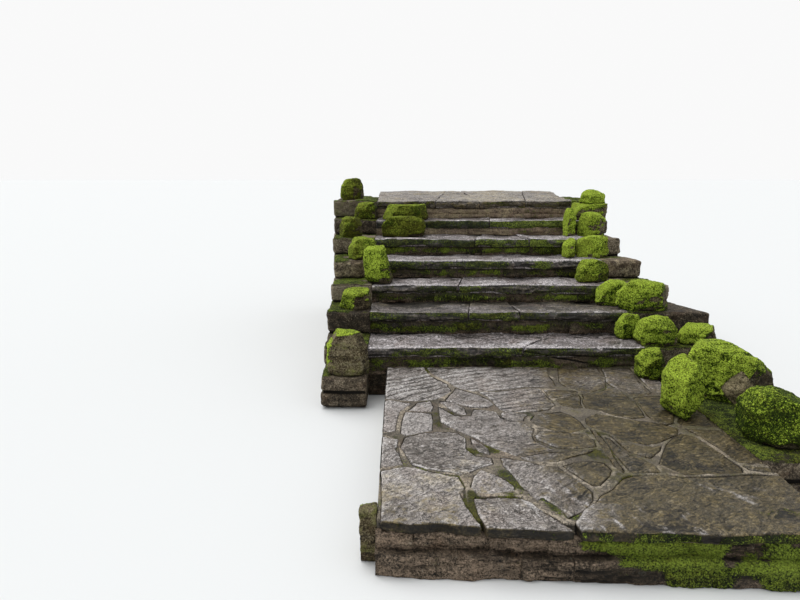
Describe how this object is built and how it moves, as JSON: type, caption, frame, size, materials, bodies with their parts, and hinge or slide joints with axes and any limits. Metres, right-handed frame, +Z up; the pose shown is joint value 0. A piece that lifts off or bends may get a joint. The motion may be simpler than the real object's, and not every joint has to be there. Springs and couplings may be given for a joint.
{
  "type": "outdoor stone steps with crazy-paved landing",
  "caption": "Outdoor stone steps: a crazy-paved landing and a flight of thick sandstone slabs between mossy edging stones on rubble walls.",
  "frame": {"origin": "foot of the landing's front wall, at the middle of the flight", "axes": "+Y up the flight, +Z up, +X to the right of someone going up"},
  "size_m": [3.2754, 5.4637, 1.639],
  "materials": {
    "tread_stone": "satin",
    "walling_stone": "matte",
    "paving_stone": "satin",
    "mortar": "matte",
    "mossy_stone": "matte",
    "rubble_fill": "matte"
  },
  "bodies": {
    "root": {"landing_core": "rubble_fill", "landing_front_wall": "walling_stone", "landing_side_walls": "walling_stone", "landing_bed": "mortar", "landing_flags_front": "paving_stone", "landing_flags_back": "paving_stone", "flight_core": "rubble_fill", "riser_2": "walling_stone", "riser_3": "walling_stone", "riser_4": "walling_stone", "riser_5": "walling_stone", "riser_6": "walling_stone", "riser_7": "walling_stone", "riser_8": "walling_stone", "tread_2": "tread_stone", "tread_3": "tread_stone", "tread_4": "tread_stone", "tread_5": "tread_stone", "tread_6": "tread_stone", "tread_7": "tread_stone", "top_slabs": "tread_stone", "right_wall_lower": "walling_stone", "right_wall_middle": "walling_stone", "right_wall_upper": "walling_stone", "left_wall": "walling_stone", "back_wall": "walling_stone", "right_stone_front": "mossy_stone", "right_stone_large": "mossy_stone", "right_stone_tall": "mossy_stone", "right_stone_low": "mossy_stone", "right_stones_level_2": "mossy_stone", "right_stone_broad": "mossy_stone", "right_stone_level_3": "mossy_stone", "right_stone_level_4": "mossy_stone", "right_stones_level_5": "mossy_stone", "right_stones_level_6": "mossy_stone", "right_slab_low": "mossy_stone", "right_slab_top": "mossy_stone", "left_stones_low": "mossy_stone", "left_stone_level_3": "mossy_stone", "left_stone_level_4": "mossy_stone", "left_stone_level_5": "mossy_stone", "left_stones_level_6": "mossy_stone", "left_stones_level_7": "mossy_stone", "left_stone_top": "mossy_stone"}
  },
  "joints": []
}
